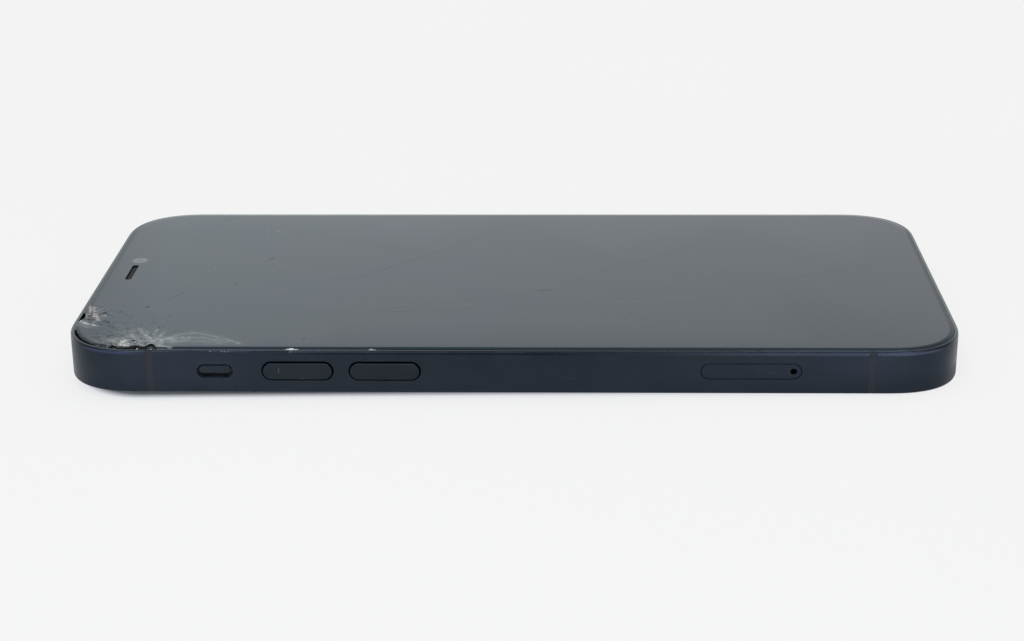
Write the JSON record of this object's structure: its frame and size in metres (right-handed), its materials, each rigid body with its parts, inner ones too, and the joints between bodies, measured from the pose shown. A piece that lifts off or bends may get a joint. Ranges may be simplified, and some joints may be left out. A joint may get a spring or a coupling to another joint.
{
  "type": "shattered screen phone",
  "caption": "Slim slab phone lying on its back, with a shattered glass corner, long cracks, pressing side keys and a card tray that slides out.",
  "frame": {"origin": "centre of the bounding box at its base, level with the lowest faces of the rear camera rings", "axes": "+X from the earpiece end to the charging end, +Y away from the volume keys, +Z out of the screen"},
  "size_m": [0.1466, 0.072, 0.0089],
  "materials": {
    "frame_metal": "dark blue anodised, satin",
    "key_metal": "dark blue anodised, satin",
    "antenna_moulding": "dark moulded plastic, flush with the metal",
    "front_glass": "black-backed glossy glass, cracked, with pale crushed edges",
    "rear_glass": "dark blue glossy glass",
    "black_plastic": "matt black",
    "display_film": "dark display laminate",
    "lens_glass": "dark coated lens",
    "flash_diffuser": "warm white diffuser",
    "plain_steel": "plain stamped steel",
    "plate_aluminium": "plain",
    "coil_copper": "wound copper",
    "battery_wrap": "black pouch wrap",
    "circuit_board": "dark green solder mask"
  },
  "bodies": {
    "phone_body": {"frame_top_left_corner": "frame_metal", "frame_top_right_corner": "frame_metal", "frame_left_rail": "frame_metal", "frame_right_rail": "frame_metal", "frame_bottom_left_corner": "frame_metal", "frame_bottom_right_corner": "frame_metal", "antenna_break_left_upper": "antenna_moulding", "antenna_break_right_upper": "antenna_moulding", "antenna_break_left_lower": "antenna_moulding", "antenna_break_right_lower": "antenna_moulding", "antenna_break_top": "antenna_moulding", "antenna_break_bottom": "antenna_moulding", "cover_glass": "front_glass", "glass_shard_corner": "front_glass", "glass_shard_second": "front_glass", "glass_shard_third": "front_glass", "glass_shard_end": "front_glass", "glass_shard_long": "front_glass", "display_bezel": "black_plastic", "display_panel": "display_film", "display_shield": "plain_steel", "earpiece_mesh": "black_plastic", "earpiece_speaker": "black_plastic", "front_camera": "black_plastic", "back_glass": "rear_glass", "camera_ring_upper": "frame_metal", "camera_ring_lower": "frame_metal", "camera_lens_upper": "lens_glass", "camera_lens_lower": "lens_glass", "rear_camera_upper": "black_plastic", "rear_camera_lower": "black_plastic", "flash_lens": "flash_diffuser", "volume_switch_strip": "plain_steel", "side_switch_strip": "plain_steel", "ring_switch_body": "black_plastic", "sim_reader": "plain_steel", "mid_plate": "plate_aluminium", "charging_coil": "coil_copper", "battery": "battery_wrap", "logic_board": "circuit_board", "board_shield_upper": "plain_steel", "board_shield_lower": "plain_steel", "loudspeaker": "black_plastic", "haptic_case": "plain_steel", "haptic_cover": "plain_steel", "haptic_spring_left": "plain_steel", "haptic_spring_right": "plain_steel", "charging_port": "plain_steel", "charging_board": "circuit_board", "bottom_screw_left": "plain_steel", "bottom_screw_right": "plain_steel"},
    "volume_up_key": {"volume_up_button": "key_metal"},
    "volume_down_key": {"volume_down_button": "key_metal"},
    "side_key": {"side_button": "key_metal"},
    "ring_lever": {"ring_switch": "key_metal"},
    "card_tray": {"sim_tray": "key_metal"},
    "eject_rod": {"sim_eject_rod": "plain_steel"},
    "eject_lever": {"sim_eject_lever": "plain_steel"},
    "haptic_weight": {"haptic_mass": "plain_steel"}
  },
  "joints": [
    {"name": "volume_up_press", "type": "slide", "parent": "phone_body", "child": "volume_up_key", "axis": [0, 1, 0], "range_m": [0, 0.0003], "stiffness_N_per_m": 3000, "springref_m": -0.0001},
    {"name": "volume_down_press", "type": "slide", "parent": "phone_body", "child": "volume_down_key", "axis": [0, 1, 0], "range_m": [0, 0.0003], "stiffness_N_per_m": 3000, "springref_m": -0.0001},
    {"name": "side_button_press", "type": "slide", "parent": "phone_body", "child": "side_key", "axis": [0, -1, 0], "range_m": [0, 0.0003], "stiffness_N_per_m": 3000, "springref_m": -0.0001},
    {"name": "ring_switch_slide", "type": "slide", "parent": "phone_body", "child": "ring_lever", "axis": [0, 0, -1], "range_m": [0, 0.0006]},
    {"name": "sim_tray_slide", "type": "slide", "parent": "phone_body", "child": "card_tray", "axis": [0, -1, 0], "range_m": [0, 0.022]},
    {"name": "sim_eject_rod_slide", "type": "slide", "parent": "phone_body", "child": "eject_rod", "axis": [0, 1, 0], "range_m": [0, 0.0022]},
    {"name": "sim_eject_lever_turn", "type": "hinge", "parent": "phone_body", "child": "eject_lever", "pos_m": [0.0401, -0.0134, 0.00535], "axis": [0, 0, 1], "range_deg": [0, 25]},
    {"name": "haptic_mass_slide", "type": "slide", "parent": "phone_body", "child": "haptic_weight", "axis": [0, 1, 0], "range_m": [-0.00035, 0.00035], "stiffness_N_per_m": 1500, "deforming": ["haptic_spring_left", "haptic_spring_right"]}
  ],
  "couplings": [
    {"joint": "sim_eject_lever_turn", "follows": "sim_eject_rod_slide", "rad_per_m": 198.3}
  ]
}
